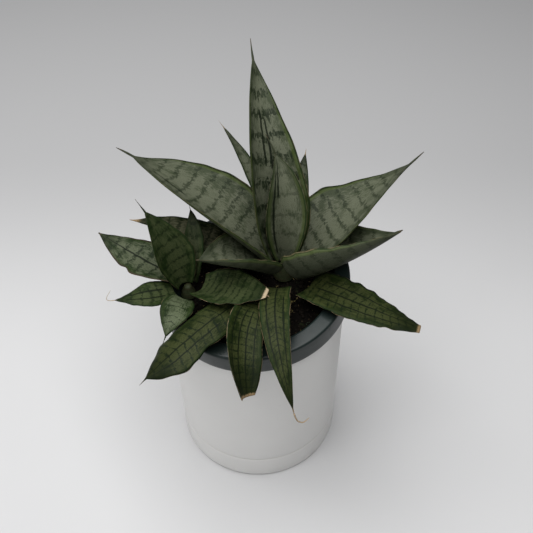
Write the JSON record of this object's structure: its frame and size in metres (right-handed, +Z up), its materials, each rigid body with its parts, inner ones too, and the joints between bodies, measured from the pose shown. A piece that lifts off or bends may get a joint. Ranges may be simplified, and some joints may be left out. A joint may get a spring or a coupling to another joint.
{
  "type": "potted snake plant",
  "caption": "Dwarf snake plant with silver-green blades and an offset, in a tilted green nursery pot set in a white cylindrical ceramic cachepot.",
  "frame": {"origin": "centre of the cachepot's flat underside, on the surface it stands on", "axes": "+Z up along the cachepot's axis, +X to the right and -Y to the front of the arrangement, where the old leaves hang over the rim"},
  "size_m": [0.1824, 0.1689, 0.2335],
  "materials": {
    "white_glaze": "satin glaze",
    "green_plastic": "semi-matt moulded",
    "potting_mix": "loose and damp",
    "crown_flesh": "matt",
    "snake_plant_leaf": "waxy satin"
  },
  "bodies": {
    "root": {"cachepot": "white_glaze", "nursery_pot": "green_plastic", "potting_soil": "potting_mix", "main_crown": "crown_flesh", "pup_crown": "crown_flesh", "leaf_spear": "snake_plant_leaf", "leaf_back_tall": "snake_plant_leaf", "leaf_right_upper": "snake_plant_leaf", "leaf_left_upper": "snake_plant_leaf", "leaf_right_mid": "snake_plant_leaf", "leaf_left_mid": "snake_plant_leaf", "leaf_back_left": "snake_plant_leaf", "leaf_back_right": "snake_plant_leaf", "leaf_far_left": "snake_plant_leaf", "leaf_old_right": "snake_plant_leaf", "leaf_old_front_left": "snake_plant_leaf", "leaf_old_front_cut": "snake_plant_leaf", "leaf_old_front_long": "snake_plant_leaf", "pup_upright": "snake_plant_leaf", "pup_small_dark": "snake_plant_leaf", "pup_far_left": "snake_plant_leaf", "pup_left_low": "snake_plant_leaf", "pup_lower_left": "snake_plant_leaf", "pup_right": "snake_plant_leaf"}
  },
  "joints": []
}
